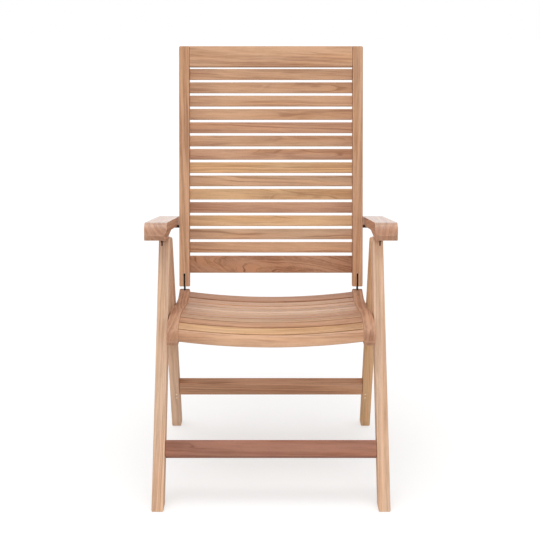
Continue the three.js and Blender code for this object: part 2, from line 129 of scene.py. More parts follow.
BACK_LEAN = math.radians(11.3)
STILE_DEPTH = 0.030
STILE_FOOT = 0.020
PLATE_TOP = 0.0074
STILE_KERF = PLATE_TOP + PLATE_ROUND + 2 * SEAM
STILE_CORNER = 0.004
STILE_INNER_SHARE = 0.7
BACK_TOP = 0.6336
TOP_RAIL = 0.0556
BOTTOM_RAIL = 0.0468
BOTTOM_RAIL_LOW = 0.0172
BACK_RAIL_DEPTH = 0.022
TOP_RAIL_SETBACK = 0.0005
BOTTOM_RAIL_SETBACK = 0.004
BACK_SLATS = 14
BACK_SLAT = 0.0292
BACK_SLAT_LIFT = 0.0013
BACK_SLAT_DEPTH = 0.010
BACK_SLAT_SETBACK = 0.005
BACK_SLAT_EASE = 0.002

ARM_INNER = FRAME_OUTER + 0.007
ARM_OUTER = ARM_INNER + 0.056
ARM_LENGTH = 0.452
ARM_NOSE_REACH = 0.064
ARM_NOSE_FACE = 0.013
ARM_NOSE_UNDERCUT = 0.0045
ARM_NOSE_ROUND = 0.038
ARM_HEIGHT = 0.0395
ARM_FLAT = 0.151
ARM_FALL = math.radians(7.7)
ARM_END_ROUND = 0.008
ARM_CORNER = 0.012
ARM_TOP_EASE = 0.0115
ARM_OTHER_EASE_SHARE = 0.35
ARM_BLANK = 1.0
ARM_PIN_LENGTH = 0.034
PEG_EASE = 0.001
NOTCHES = 5
RECLINE_STEP = math.radians(7.5)
NOTCH_DEPTH = 0.004
NOTCH_ROUND = 0.0055
NOTCH_REACH = 0.020

RAIL_TOP_SHARES = (
    (0.926, 0.644), (0.849, 0.601), (0.76, 0.623), (0.672, 0.673), (0.592, 0.737), (0.497, 0.808),
    (0.373, 0.93), (0.254, 1), (0.138, 0.97), (0.07, 0.894), (0.021, 0.737), (0, 0.425),
)
RAIL_UNDER_SHARES = ((0.012, 0.245), (0.23, 0.3), (0.42, 0.11), (0.6, 0), (0.87, 0))
NOSE_GROOVE_SHARE = (0.001, 0.41)

FLOOR_SIZE = 60
FLOOR_DROP = 0.0005
WORLD_LIGHT = 0.48
PHOTO_WIDTH = 540
CAMERA_PLACE = (0, -3.108, 1.181)
CAMERA_TILT = math.radians(12.39)
CAMERA_LENS = 83.4
CAMERA_SENSOR = 36


def flat(point):
    """A place in the side view, as (Y, Z)."""
    return Vector((point.y, point.z))


LINK_PIN = flat(PIVOTS["arm_link_right_lift"])
ARM_PIN = flat(PIVOTS["arm_right_fold"])
SEAT_PIVOT = flat(PIVOTS["seat_fold"])
REAR_PIVOT = flat(PIVOTS["rear_leg_fold"])
LOWER_HINGE = flat(PIVOTS["back_hinge_fold"])
UPPER_HINGE = flat(PIVOTS["back_recline"])
UP_FRONT_LEG = Vector((math.sin(FRONT_LEAN), math.cos(FRONT_LEAN)))
UP_REAR_LEG = Vector((-math.sin(REAR_LEAN), math.cos(REAR_LEAN)))
UP_BACK = Vector((math.sin(BACK_LEAN), math.cos(BACK_LEAN)))
FRONT_FOOT = LINK_PIN - FRONT_LENGTH * UP_FRONT_LEG
REAR_LENGTH = REAR_PIVOT.y / math.cos(REAR_LEAN)
REAR_FOOT = REAR_PIVOT - REAR_LENGTH * UP_REAR_LEG
SEAT_BASE = SEAT_PIVOT - Vector((SEAT_PIVOT_BACK, SEAT_PIVOT_RISE))


# Shaping


def select_only(piece):
    bpy.ops.object.select_all(action="DESELECT")
    piece.select_set(True)
    bpy.context.view_layer.objects.active = piece


def edit(piece):
    select_only(piece)
    bpy.ops.object.mode_set(mode="EDIT")
    bpy.ops.mesh.select_all(action="SELECT")


def leave_edit():
    bpy.ops.object.mode_set(mode="OBJECT")


def modify(piece, kind, **settings):
    """Adds a modifier and applies it."""
    select_only(piece)
    modifier = piece.modifiers.new("shaping", kind)
    for setting, value in settings.items():
        setattr(modifier, setting, value)
    bpy.ops.object.modifier_apply(modifier=modifier.name)


def settle(piece, turn=0.0, at=(0, 0, 0)):
    """Turns a piece about X, moves it to its place and applies both."""
    select_only(piece)
    piece.rotation_euler = (turn, 0, 0)
    piece.location = at
    bpy.ops.object.transform_apply(location=True, rotation=True, scale=True)
    return piece


def copy_of(piece):
    twin = piece.copy()
    twin.data = piece.data.copy()
    bpy.context.collection.objects.link(twin)
    return twin


def mirror_of(piece):
    """The same piece for the other side of the chair."""
    twin = copy_of(piece)
    select_only(twin)
    twin.scale = (-1, 1, 1)
    bpy.ops.object.transform_apply(location=False, rotation=False, scale=True)
    edit(twin)
    bpy.ops.mesh.normals_make_consistent(inside=False)
    leave_edit()
    return twin


def bevel_some(piece, chosen, width, segments):
    """Rounds over the edges whose two ends pass the test."""
    edit(piece)
    bpy.ops.mesh.select_all(action="DESELECT")
    leave_edit()
    for edge in piece.data.edges:
        edge.select = chosen(*(piece.data.vertices[i].co for i in edge.vertices))
    bpy.ops.object.mode_set(mode="EDIT")
    bpy.ops.mesh.bevel(offset=width, segments=segments, affect="EDGES")
    leave_edit()


def block(low, high, ease=0.0):
    """A board between two corners, with its edges rounded over."""
    low, high = Vector(low), Vector(high)
    bpy.ops.object.select_all(action="DESELECT")
    bpy.ops.mesh.primitive_cube_add(size=1, location=(low + high) / 2)
    board = bpy.context.object
    board.scale = high - low
    bpy.ops.object.transform_apply(location=True, rotation=False, scale=True)
    if ease:
        modify(board, "BEVEL", width=ease, segments=3)
    return board


def sawn(outline, low_x, high_x, ease=0.0):
    """A board between two places along X, sawn to a side view's outline, with its edges rounded over."""
    curve = bpy.data.curves.new("outline", "CURVE")
    curve.dimensions = "2D"
    curve.fill_mode = "NONE"
    spline = curve.splines.new("POLY")
    spline.points.add(len(outline) - 1)
    spline.use_cyclic_u = True
    for point, place in zip(spline.points, outline):
        point.co = (*place, 0, 1)
    board = bpy.data.objects.new("outline", curve)
    bpy.context.collection.objects.link(board)
    select_only(board)
    bpy.ops.object.convert(target="MESH")
    board = bpy.context.object
    board.rotation_euler = (math.pi / 2, 0, math.pi / 2)
    board.location = (low_x, 0, 0)
    bpy.ops.object.transform_apply(location=True, rotation=True, scale=False)
    edit(board)
    bpy.ops.mesh.edge_face_add()
    bpy.ops.mesh.extrude_region_move(TRANSFORM_OT_translate={"value": (high_x - low_x, 0, 0)})
    bpy.ops.mesh.select_all(action="SELECT")
    bpy.ops.mesh.normals_make_consistent(inside=False)
    leave_edit()
    if ease:
        modify(board, "BEVEL", width=ease, segments=3, limit_method="ANGLE", angle_limit=EDGE_ABOVE)
    return board


def ease_rims(bar, ease):
    modify(bar, "BEVEL", width=ease, segments=2, limit_method="ANGLE", angle_limit=RIM_ABOVE)


def dowel(radius, low_x, high_x, at, ease=0.0, sides=24):
    """A round bar along X through a place in the side view, with its ends rounded over."""
    bpy.ops.object.select_all(action="DESELECT")
    middle = ((low_x + high_x) / 2, at[0], at[1])
    bpy.ops.mesh.primitive_cylinder_add(
        radius=radius, depth=high_x - low_x, vertices=sides, location=middle, rotation=(0, math.pi / 2, 0)
    )
    bpy.ops.object.transform_apply(location=True, rotation=True, scale=False)
    bar = bpy.context.object
    if ease:
        ease_rims(bar, ease)
    return bar


def combine(piece, operation, others):
    """Cuts or joins a piece with others, which are used up."""
    for other in others:
        modify(piece, "BOOLEAN", operation=operation, solver="EXACT", object=other)
        bpy.data.objects.remove(other)
    return piece


def cut_away(piece, *cutters):
    return combine(piece, "DIFFERENCE", cutters)


def add_on(piece, *others):
    return combine(piece, "UNION", others)


def keep_common(piece, *others):
    return combine(piece, "INTERSECT", others)


def saw_slot(x, low, high, width=KERF):
    """A cutter as wide as a hinge plate's slot, from its lowest to its highest place in the side view."""
    return block((x - width / 2, *low), (x + width / 2, *high))


def smooth(piece):
    """Shades a piece smooth, all but its sharp edges."""
    select_only(piece)
    bpy.ops.object.shade_smooth_by_angle(angle=SMOOTH_BELOW)


def fit(piece, node, finish, slot):
    """Puts a finished piece in the place of its CAD node."""
    piece.name = piece.data.name = f"{node}_{slot}"
    piece.data.materials.clear()
    piece.data.materials.append(finish)
    smooth(piece)
    modify(piece, "WEIGHTED_NORMAL", keep_sharp=True, weight=100)
    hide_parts(node)
    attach(piece, BODIES[node])


# Finishes


class Value:
    """What a node gives out. It can be added, subtracted, multiplied and raised to a power as a number can.
    """

    def __init__(self, finish, socket):
        self.finish = finish
        self.socket = socket

    def math(self, operation, first, second=None):
        values = {0: first} if second is None else {0: first, 1: second}
        return self.finish.node("ShaderNodeMath", {"operation": operation}, values)

    def __add__(self, other):
        return self.math("ADD", self, other)

    __radd__ = __add__

    def __mul__(self, other):
        return self.math("MULTIPLY", self, other)

    __rmul__ = __mul__

    def __sub__(self, other):
        return self.math("SUBTRACT", self, other)

    def __rsub__(self, other):
        return self.math("SUBTRACT", other, self)

    def __pow__(self, other):
        return self.math("POWER", self, other)

    def __abs__(self):
        return self.math("ABSOLUTE", self)


class Finish:
    """A material's nodes."""

    def __init__(self, name):
        self.material = bpy.data.materials.new(name)
        self.material.use_nodes = True
        self.tree = self.material.node_tree
        self.shader = self.tree.nodes["Principled BSDF"]

    def node(self, kind, settings=None, values=None, out=0):
        """Adds a node, sets it, then sets or links its sockets, and gives one of its outputs."""
        node = self.tree.nodes.new(kind)
        for setting, value in (settings or {}).items():
            if setting == "stops":
                self.set_stops(node.color_ramp, value)
            else:
                setattr(node, setting, value)
        self.plug(node, values or {})
        return Value(self, node.outputs[out])

    def plug(self, node, values):
        for socket, value in values.items():
            if isinstance(value, Value):
                self.tree.links.new(value.socket, node.inputs[socket])
            else:
                node.inputs[socket].default_value = value

    @staticmethod
    def set_stops(ramp, stops):
        while len(ramp.elements) < len(stops):
            ramp.elements.new(0.5)
        for element, (place, colour) in zip(ramp.elements, stops):
            element.position = place
            element.color = colour

    def stretched(self, vector, scale):
        return self.node("ShaderNodeVectorMath", {"operation": "MULTIPLY"}, {0: vector, 1: scale})

    def noise(self, vector, scale, detail=2.0, roughness=0.5):
        """Noise, finer the larger its scale is along each axis."""
        place = self.stretched(vector, scale)
        values = {"Vector": place, "Scale": 1.0, "Detail": detail, "Roughness": roughness}
        return self.node("ShaderNodeTexNoise", None, values)

    def step(self, value, low, high):
        """0 below low, 1 above high, and smooth between them."""
        settings = {"interpolation_type": "SMOOTHSTEP"}
        return self.node("ShaderNodeMapRange", settings, {"Value": value, "From Min": low, "From Max": high})

    def blend(self, factor, first, second, mode="MIX"):
        settings = {"data_type": "RGBA", "blend_type": mode}
        return self.node("ShaderNodeMix", settings, {0: factor, 6: first, 7: second}, out=2)

    def dot(self, first, second):
        settings = {"operation": "DOT_PRODUCT"}
        return self.node("ShaderNodeVectorMath", settings, {0: first, 1: second}, out="Value")

    def edge_mask(self, radius, reach):
        """1 along the edges, 0 on the open faces."""
        rounded = self.node("ShaderNodeBevel", {"samples": 6}, {"Radius": radius})
        plain = self.node("ShaderNodeNewGeometry", out="Normal")
        return self.step(1 - self.dot(rounded, plain), 0.0, reach)

    def done(self, values):
        self.plug(self.shader, values)
        return self.material


def colour(red, green, blue):
    """A screen colour, 0 to 255, as the light that it stands for."""
    shares = (value / 255 for value in (red, green, blue))
    return (*(share / 12.92 if share <= 0.04045 else ((share + 0.055) / 1.055) ** 2.4 for share in shares), 1)


# The body colour of each tone of teak
TONES = {
    "straw": (213, 173, 132),
    "honey": (204, 161, 128),
    "sand": (200, 163, 133),
    "tan": (198, 154, 124),
    "rosy": (191, 147, 119),
    "brown": (182, 138, 109),
    "russet": (156, 109, 90),
    "pale": (216, 181, 153),
    "plug": (240, 222, 200),
}


def shaded(tone, red, green, blue):
    """A tone's colour as light, made lighter or darker."""
    body = colour(*TONES[tone])
    return (body[0] * red, body[1] * green, body[2] * blue, 1)


def teak(
    name, middle, along, tone, seed, waves=1.0, lean=0.025, contrast=1.0, ends=None, wear=1.0, polish=0.0
):
    """Planed teak. Its growth rings lie round a heart line that runs nearly along the board and passes
    beside it, so that a face shows straight lines or long arches. Waves bend the rings, and lean lets them
    run out of the board's faces. Where ends are given, a board darkens towards them, as far from its middle:
    partly darker wood, partly painted shade where it meets the stiles and rails. Its edges are painted paler,
    partly as wear and partly as painted highlight where eased edges catch the light. Polish is the gloss that
    hands and clothes have rubbed into its top."""
    chance = random.Random(seed)
    pale = shaded(tone, 1.2, 1.22, 1.24)
    body = shaded(tone, 1, 1, 1)
    dark = shaded(tone, 0.62, 0.54, 0.5)
    lie = Vector(along).normalized().to_track_quat("X", "Z")
    turn = chance.gauss(0, 0.45) + chance.choice((0, math.pi))
    away = chance.uniform(0.03, 0.08)
    heart = Vector(middle) + lie @ Vector((0, away * math.cos(turn), away * math.sin(turn)))
    tilt = Euler((0, chance.uniform(0.4, 1) * lean, chance.choice((-1, 1)) * chance.uniform(0.4, 1) * lean))
    finish = Finish(name)
    place = {
        "Vector": finish.node("ShaderNodeTexCoord", out="Object"),
        "Location": heart,
        "Rotation": (lie @ tilt.to_quaternion()).to_euler(),
    }
    grain = finish.node("ShaderNodeMapping", {"vector_type": "TEXTURE"}, place)
    split = finish.node("ShaderNodeSeparateXYZ", None, {"Vector": grain}).socket.node
    across = Value(finish, split.outputs["Y"])
    up = Value(finish, split.outputs["Z"])
    wander = finish.noise(grain, (2.6, 14.0, 14.0), detail=3.0, roughness=0.55)
    ring = (across * across + up * up) ** 0.5 + 0.02 * waves * wander + seed
    rings = {"W": ring, "Scale": 130.0, "Detail": 1.5, "Roughness": 0.6}
    growth = finish.node("ShaderNodeTexNoise", {"noise_dimensions": "1D"}, rings)
    lines = 1 - finish.step(abs(growth - 0.52), 0.004, 0.035)
    bands = finish.step(growth, 0.35, 0.7)
    drift = finish.noise(grain, (2.0, 9.0, 9.0), detail=1.0)
    patches = finish.noise(grain, (3.0, 26.0, 26.0), detail=2.0)
    streaks = finish.noise(grain, (7.0, 210.0, 210.0), detail=3.0, roughness=0.6)
    fibres = finish.noise(grain, (22.0, 640.0, 640.0), detail=3.0, roughness=0.65)
    pores = finish.step(finish.noise(grain, (120.0, 2100.0, 2100.0), detail=1.0), 0.6, 0.72)
    broad = 0.26 * (bands - 0.5) + 0.7 * (drift - 0.5) + 0.5 * (patches - 0.5)
    fine = 0.75 * (streaks - 0.5) + 0.7 * (fibres - 0.5)
    figure = 0.45 + contrast * (broad + fine)
    stops = ((0.2, pale), (0.5, body), (0.95, dark))
    wood = finish.node("ShaderNodeValToRGB", {"stops": stops}, {"Fac": figure})
    strong = finish.step(finish.noise(grain, (5.0, 40.0, 40.0), detail=1.0), 0.4, 0.62)
    wood = finish.blend(lines * strong * min(0.75 * contrast, 1.0), wood, dark)
    orange = finish.step(finish.noise(grain, (3.0, 38.0, 38.0), detail=2.0), 0.4, 0.66)
    wood = finish.blend(orange, wood, (1.04, 0.97, 0.88, 1), "MULTIPLY")
    grey = finish.step(finish.noise(grain, (3.5, 34.0, 34.0), detail=2.0, roughness=0.7), 0.42, 0.7)
    wood = finish.blend(grey, wood, (0.94, 0.935, 0.98, 1), "MULTIPLY")
    wood = finish.blend(pores * 0.3, wood, dark)
    normal = finish.node("ShaderNodeTexCoord", out="Normal")
    end_grain = finish.step(abs(finish.dot(normal, Vector(along).normalized())), 0.6, 0.97)
    wood = finish.blend(end_grain * 0.4, wood, dark)
    # Darker towards the ends: partly darker wood, partly painted shade where the board meets the stiles and
    # rails.
    if ends:
        end_shade_and_tone = finish.step(abs(Value(finish, split.outputs["X"])), ends * 0.5, ends * 1.05)
        wood = finish.blend(end_shade_and_tone * (0.2 + drift), wood, (0.82, 0.76, 0.75, 1), "MULTIPLY")
    # Paler edges: partly wear, partly painted highlight where the eased edges catch the light.
    along_edges = finish.edge_mask(0.004, 0.05)
    wood = finish.blend(along_edges * (0.3 + 0.4 * patches) * wear, wood, pale)
    height = 0.6 * fibres - 0.5 * pores - 0.25 * lines
    bump = finish.node("ShaderNodeBump", None, {"Strength": 0.35, "Distance": 0.0006, "Height": height})
    values = {"Base Color": wood, "Normal": bump, "Specular IOR Level": 0.4 if polish else 0.22}
    roughness = 0.58 + 0.14 * fibres + 0.08 * bands
    if polish:
        upward = finish.node("ShaderNodeSeparateXYZ", None, {"Vector": normal}, out="Z")
        rubbed = finish.step(upward, 0.6, 0.95)
        values.update({"Coat Weight": polish * rubbed, "Coat Roughness": 0.2})
        roughness = roughness - 0.24 * rubbed
    return finish.done({**values, "Roughness": roughness})


def dark_steel():
    """Steel with a dull, dark brown coating, rubbed bright along its edges."""
    finish = Finish("dark_steel")
    place = finish.node("ShaderNodeTexCoord", out="Object")
    cloud = finish.noise(place, (90.0, 90.0, 90.0), detail=4.0)
    grit = finish.noise(place, (1400.0, 1400.0, 1400.0), detail=2.0)
    along_edges = finish.edge_mask(0.0008, 0.2)
    stops = ((0.3, colour(38, 30, 26)), (0.7, colour(66, 55, 47)))
    coat = finish.node("ShaderNodeValToRGB", {"stops": stops}, {"Fac": cloud})
    coat = finish.blend(along_edges * cloud, coat, colour(140, 132, 124))
    bump = finish.node("ShaderNodeBump", None, {"Strength": 0.25, "Distance": 0.0002, "Height": grit})
    values = {"Base Color": coat, "Roughness": 0.36 + 0.22 * cloud, "Metallic": 0.75, "Normal": bump}
    return finish.done(values)


def bright_steel():
    """Turned stainless steel."""
    finish = Finish("bright_steel")
    place = finish.node("ShaderNodeTexCoord", out="Object")
    turned = finish.noise(place, (2600.0, 260.0, 260.0), detail=2.0)
    smudge = finish.noise(place, (120.0, 120.0, 120.0), detail=3.0)
    stops = ((0.25, colour(168, 164, 158)), (0.75, colour(204, 201, 196)))
    metal = finish.node("ShaderNodeValToRGB", {"stops": stops}, {"Fac": smudge})
    bump = finish.node("ShaderNodeBump", None, {"Strength": 0.2, "Distance": 0.0001, "Height": turned})
    values = {"Base Color": metal, "Roughness": 0.24 + 0.2 * turned, "Metallic": 1.0, "Normal": bump}
    return finish.done(values)


DARK_STEEL = dark_steel()
BRIGHT_STEEL = bright_steel()
ACROSS = Vector((1, 0, 0))


def fit_board(piece, node, along, tone, seed, **figure):
    """Fits a board in teak whose grain runs along it."""
    low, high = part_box(node)
    fit(piece, node, teak(node + "_teak", (low + high) / 2, along, tone, seed, **figure), "teak")


def fit_pair(piece, node, finish, slot):
    """Fits a piece of the right side and its twin on the left."""
    fit(mirror_of(piece), node + "_left", finish, slot)
    fit(piece, node + "_right", finish, slot)


# Outlines in the side view


def arc(centre, radius, start, end, steps=12):
    """Points on an arc, between two angles from +Y towards +Z."""
    points = []
    for i in range(steps + 1):
        turn = start + (end - start) * i / steps
        points.append(Vector((centre[0] + radius * math.cos(turn), centre[1] + radius * math.sin(turn))))
    return points


def bow(start, pull, end, steps=10):
    """Points on a curve from start to end that is drawn towards pull."""
    shares = (i / steps for i in range(steps + 1))
    return [start * (1 - t) ** 2 + pull * 2 * t * (1 - t) + end * t**2 for t in shares]


def through(points, steps):
    """Points on a smooth curve through the given ones, with as many steps in each stretch."""
    line = []
    for i in range(len(points) - 1):
        before, start, end, after = (points[min(max(k, 0), len(points) - 1)] for k in range(i - 1, i + 3))
        leave, arrive = (end - before) / 2, (after - start) / 2
        for j in range(steps):
            t = j / steps
            line.append(
                (2 * start - 2 * end + leave + arrive) * t**3
                + (3 * end - 3 * start - 2 * leave - arrive) * t**2
                + leave * t
                + start
            )
    return [*line, points[-1]]


def round_plate(pins, radius):
    """The outline of a plate with a round end about each of its pins, which are listed anticlockwise."""
    outline = []
    for i, pin in enumerate(pins):
        arriving = pin - pins[i - 1]
        leaving = pins[(i + 1) % len(pins)] - pin
        start = math.atan2(arriving.y, arriving.x) - math.pi / 2
        end = math.atan2(leaving.y, leaving.x) - math.pi / 2
        outline += arc(pin, radius, start, start + (end - start) % (2 * math.pi))
    return outline


# Legs


def leg_outline(length, lean):
    half = LEG_WIDTH / 2
    rise = half * math.tan(lean)
    return [Vector((-half, -rise)), Vector((half, rise)), *arc((0, length), half, 0, math.pi, 20)]


def make_front_leg():
    half = LEG_WIDTH / 2
    leg = sawn(leg_outline(FRONT_LENGTH, FRONT_LEAN), LEG_INNER, LEG_OUTER, EASE)
    head_seat = LEG_OUTER - BOLT_HEAD_HEIGHT - 2 * SEAM
    low_plate = FRONT_LENGTH - PLATE_TAIL - PLATE_ROUND - KERF_REACH
    low_link = FRONT_LENGTH - LINK_ROUND - LEG_CLEARANCE
    top = FRONT_LENGTH + half + OVERRUN
    cut_away(
        leg,
        saw_slot(PLATE_X, (-PLATE_ROUND - KERF_REACH, low_plate), (half + OVERRUN, top)),
        saw_slot(LINK_X, (-half - OVERRUN, low_link), (LINK_ROUND + LEG_CLEARANCE, top)),
        dowel(PIN_HOLE, LEG_INNER - OVERRUN, LEG_OUTER + OVERRUN, (0, FRONT_LENGTH)),
        dowel(PIN_HOLE, LEG_INNER - OVERRUN, LEG_OUTER + OVERRUN, (0, FRONT_LENGTH - PLATE_TAIL)),
        dowel(BOLT_HEAD + SEAM, head_seat, LEG_OUTER + OVERRUN, (0, SEAT_PIVOT_ALONG)),
    )
    return settle(leg, -FRONT_LEAN, (0, *FRONT_FOOT))


def leg_dowel(rise, ease=0.0):
    """A dowel that pins the rear stretcher's tenon, driven in from the front of an upright rear leg."""
    front = -LEG_WIDTH / 2
    middle = (PLATE_X, front + DOWEL_LENGTH / 2 - DOWEL_PROUD, rise)
    bpy.ops.object.select_all(action="DESELECT")
    bpy.ops.mesh.primitive_cylinder_add(
        radius=DOWEL, depth=DOWEL_LENGTH, vertices=20, location=middle, rotation=(math.pi / 2, 0, 0)
    )
    bpy.ops.object.transform_apply(location=True, rotation=True, scale=False)
    piece = bpy.context.object
    if ease:
        ease_rims(piece, ease)
    return piece


def make_leg_dowels():
    """The dowels whose pale ends show on the rear legs."""
    finish = teak("dowel_teak", (0, 0, 0), Vector((0, *UP_REAR_LEG)), "plug", 9)
    for side in reversed(SIDES):
        for i, rise in enumerate(DOWEL_RISES):
            piece = settle(leg_dowel(rise, DOWEL_EASE), REAR_LEAN, (0, *REAR_FOOT))
            if side == "left":
                twin = mirror_of(piece)
                bpy.data.objects.remove(piece)
                piece = twin
            piece.name = piece.data.name = f"rear_leg_dowel_{side}_{i + 1}"
            piece.data.materials.append(finish)
            smooth(piece)
            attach(piece, BODIES["rear_leg_" + side])


def make_rear_leg():
    half = LEG_WIDTH / 2
    leg = sawn(leg_outline(REAR_LENGTH, -REAR_LEAN), LEG_INNER, REAR_OUTER, EASE)
    top = REAR_LENGTH + half + OVERRUN
    cut_away(
        leg,
        saw_slot(PLATE_X, (-half - OVERRUN, REAR_LENGTH - REAR_KERF), (half + OVERRUN, top)),
        dowel(PIN_HOLE, LEG_INNER - OVERRUN, LEG_OUTER + OVERRUN, (0, REAR_LENGTH)),
        *(leg_dowel(rise) for rise in DOWEL_RISES),
    )
    return settle(leg, REAR_LEAN, (0, *REAR_FOOT))


def make_legs():
    front = make_front_leg()
    rear = make_rear_leg()
    up_front = Vector((0, *UP_FRONT_LEG))
    up_rear = Vector((0, *UP_REAR_LEG))
    fit_board(mirror_of(front), "front_leg_left", up_front, "pale", 3)
    fit_board(front, "front_leg_right", up_front, "pale", 4)
    fit_board(mirror_of(rear), "rear_leg_left", up_rear, "pale", 5)
    fit_board(rear, "rear_leg_right", up_rear, "straw", 6)
    make_leg_dowels()


def make_stretchers():
    half = LEG_INNER - SEAM
    front = -LEG_WIDTH / 2 + STRETCHER_SETBACK
    for name, foot, lean, rise, tone, seed in (
        ("front_stretcher", FRONT_FOOT, -FRONT_LEAN, FRONT_STRETCHER_RISE, "russet", 11),
        ("rear_stretcher", REAR_FOOT, REAR_LEAN, REAR_STRETCHER_RISE, "tan", 12),
    ):
        low = (-half, front, rise - STRETCHER_HEIGHT / 2)
        bar = block(low, (half, front + STRETCHER_DEPTH, rise + STRETCHER_HEIGHT / 2), EASE)
        fit_board(settle(bar, lean, (0, *foot)), name, ACROSS, tone, seed)
    low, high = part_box("seat_support_bar")
    bar = block((-half, low.y, low.z), (half, high.y, high.z), EASE)
    fit_board(bar, "seat_support_bar", ACROSS, "brown", 13)


# Seat


def seat_point(share):
    return SEAT_BASE + Vector((share[0] * SEAT_LENGTH, share[1] * SEAT_CROWN))


RAIL_TOP = through([LOWER_HINGE + Vector((0, HINGE_ROUND)), *map(seat_point, RAIL_TOP_SHARES)], RAIL_STEPS)


def along_seat(distance):
    """The place on the rails' upper edge that is so far from its rear end, and the way to the nose there."""
    for start, end in zip(RAIL_TOP, RAIL_TOP[1:]):
        stretch = (end - start).length
        if distance <= stretch:
            break
        distance -= stretch
    way = (end - start).normalized()
    return start + way * distance, way


def make_rails():
    outline = arc(LOWER_HINGE, HINGE_ROUND, -math.pi / 2, math.pi / 2)
    outline += RAIL_TOP[RAIL_THINNING::RAIL_THINNING]
    outline += [seat_point(share) for share in RAIL_UNDER_SHARES]
    rail = sawn(outline, FRAME_INNER, FRAME_OUTER, EASE)
    low = LOWER_HINGE - Vector((PLATE_ROUND + 2 * SEAM, HINGE_ROUND + OVERRUN))
    high = LOWER_HINGE + Vector((HINGE_ROUND + OVERRUN, HINGE_ROUND + OVERRUN))
    inside, outside = FRAME_INNER - OVERRUN, FRAME_OUTER + OVERRUN
    cut_away(
        rail,
        saw_slot(FRAME_MIDDLE, low, high, BACK_KERF),
        dowel(NOSE_GROOVE, inside, outside, seat_point(NOSE_GROOVE_SHARE), sides=12),
        dowel(PIN_HOLE, inside, outside, LOWER_HINGE),
        dowel(BOLT + SEAM, inside, outside, SEAT_PIVOT),
    )
    to_back = Vector((0, 1, 0))
    # The rails' edges are painted paler still: partly wear, partly painted highlight along the light lines of
    # their tops.
    fit_board(mirror_of(rail), "seat_rail_left", to_back, "rosy", 21, contrast=1.3, wear=1.6)
    fit_board(rail, "seat_rail_right", to_back, "rosy", 22, contrast=1.3, wear=1.6)
    for side in SIDES:
        node = "seat_stop_cleat_" + side
        fit_board(block(*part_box(node), EASE), node, to_back, "tan", 23)


# From the rear slat to the one at the nose
SEAT_TONES = (
    "brown", "honey", "honey", "sand", "pale", "sand", "honey", "tan", "sand", "tan", "straw", "honey",
)


def make_seat_slat(start, width):
    """A slat that follows the rails, rounded over along both edges, and sags to its middle."""
    upper, lower = [], []
    for i in range(SLAT_STEPS + 1):
        place, way = along_seat(start + width * i / SLAT_STEPS)
        inward = Vector((-way.y, way.x))
        upper.append(place + inward * SLAT_SINK)
        lower.append(place + inward * (SLAT_SINK + SLAT_THICKNESS))
    half = FRAME_INNER - SEAM
    section = []
    corners = [*lower, *reversed(upper)]
    for i, corner in enumerate(corners):
        before, after = corners[i - 1] - corner, corners[(i + 1) % len(corners)] - corner
        if before.angle(after) < SLAT_CORNER_ANGLE:
            first = corner + before.normalized() * SLAT_EASE
            last = corner + after.normalized() * SLAT_EASE
            section += bow(first, corner, last, 4)
        else:
            section.append(corner)
    edge = -half + 2 * half / DISH_STEPS
    slat = sawn(section, -half, edge)
    edit(slat)
    bpy.ops.mesh.select_all(action="DESELECT")
    leave_edit()
    sag = [DISH * (1 - (2 * i / DISH_STEPS - 1) ** 2) for i in range(DISH_STEPS + 1)]
    for face in slat.data.polygons:
        face.select = face.center.x > edge - SEAM and face.normal.x > 0.9
    bpy.ops.object.mode_set(mode="EDIT")
    bpy.ops.transform.translate(value=(0, 0, -sag[1]))
    for i in range(1, DISH_STEPS):
        step = (2 * half / DISH_STEPS, 0, sag[i] - sag[i + 1])
        bpy.ops.mesh.extrude_region_move(TRANSFORM_OT_translate={"value": step})
    leave_edit()
    return slat


def make_seat_slats():
    run = sum((end - start).length for start, end in zip(RAIL_TOP, RAIL_TOP[1:])) - SLAT_START
    width = (run + SLAT_GAP) / SLAT_COUNT - SLAT_GAP
    for i, tone in enumerate(SEAT_TONES):
        extra = NOSE_SLAT_EXTRA if i == SLAT_COUNT - 1 else 0
        slat = make_seat_slat(SLAT_START + i * (width + SLAT_GAP) - extra, width + extra)
        fit_board(slat, f"seat_slat_{i + 1:02d}", ACROSS, tone, 31 + i, ends=FRAME_INNER, polish=0.15)


# Back, shaped upright about its upper hinge and then leant


# From the lowest slat to the highest
BACK_TONES = (
    "honey", "sand", "straw", "rosy", "straw", "sand", "straw",
    "tan", "honey", "tan", "honey", "honey", "honey", "honey",
)


def lean_back(piece, rise=0.0):
    return settle(piece, -BACK_LEAN, (0, *(UPPER_HINGE + rise * UP_BACK)))


def make_stile():
    """The right stile. The outer corner of its top is rounded most, and its inner edges least, so that it
    meets the top rail without a groove."""
    front = -STILE_DEPTH / 2
    stile = block((FRAME_INNER, front, -STILE_FOOT), (FRAME_OUTER, -front, BACK_TOP))
    bevel_some(stile, lambda a, b: min(a.x, b.x) > FRAME_MIDDLE and min(a.z, b.z) > 0, STILE_CORNER, 5)
    stile.data.attributes.new("bevel_weight_edge", "FLOAT", "EDGE")
    weights = stile.data.attributes["bevel_weight_edge"].data
    for edge in stile.data.edges:
        a, b = (stile.data.vertices[i].co for i in edge.vertices)
        rounded_corner = abs(a.y - b.y) > STILE_DEPTH / 2 and max(a.z, b.z) > 0
        inner = max(a.x, b.x) < FRAME_MIDDLE
        weights[edge.index].value = 0.0 if rounded_corner else STILE_INNER_SHARE if inner else 1.0
    modify(stile, "BEVEL", width=EASE, segments=3, limit_method="WEIGHT")
    low, high = (front - OVERRUN, -STILE_FOOT - OVERRUN), (-front + OVERRUN, STILE_KERF)
    return cut_away(
        stile,
        saw_slot(FRAME_MIDDLE, low, high, BACK_KERF),
        dowel(PIN_HOLE, FRAME_INNER - OVERRUN, FRAME_OUTER + OVERRUN, (0, 0)),
    )


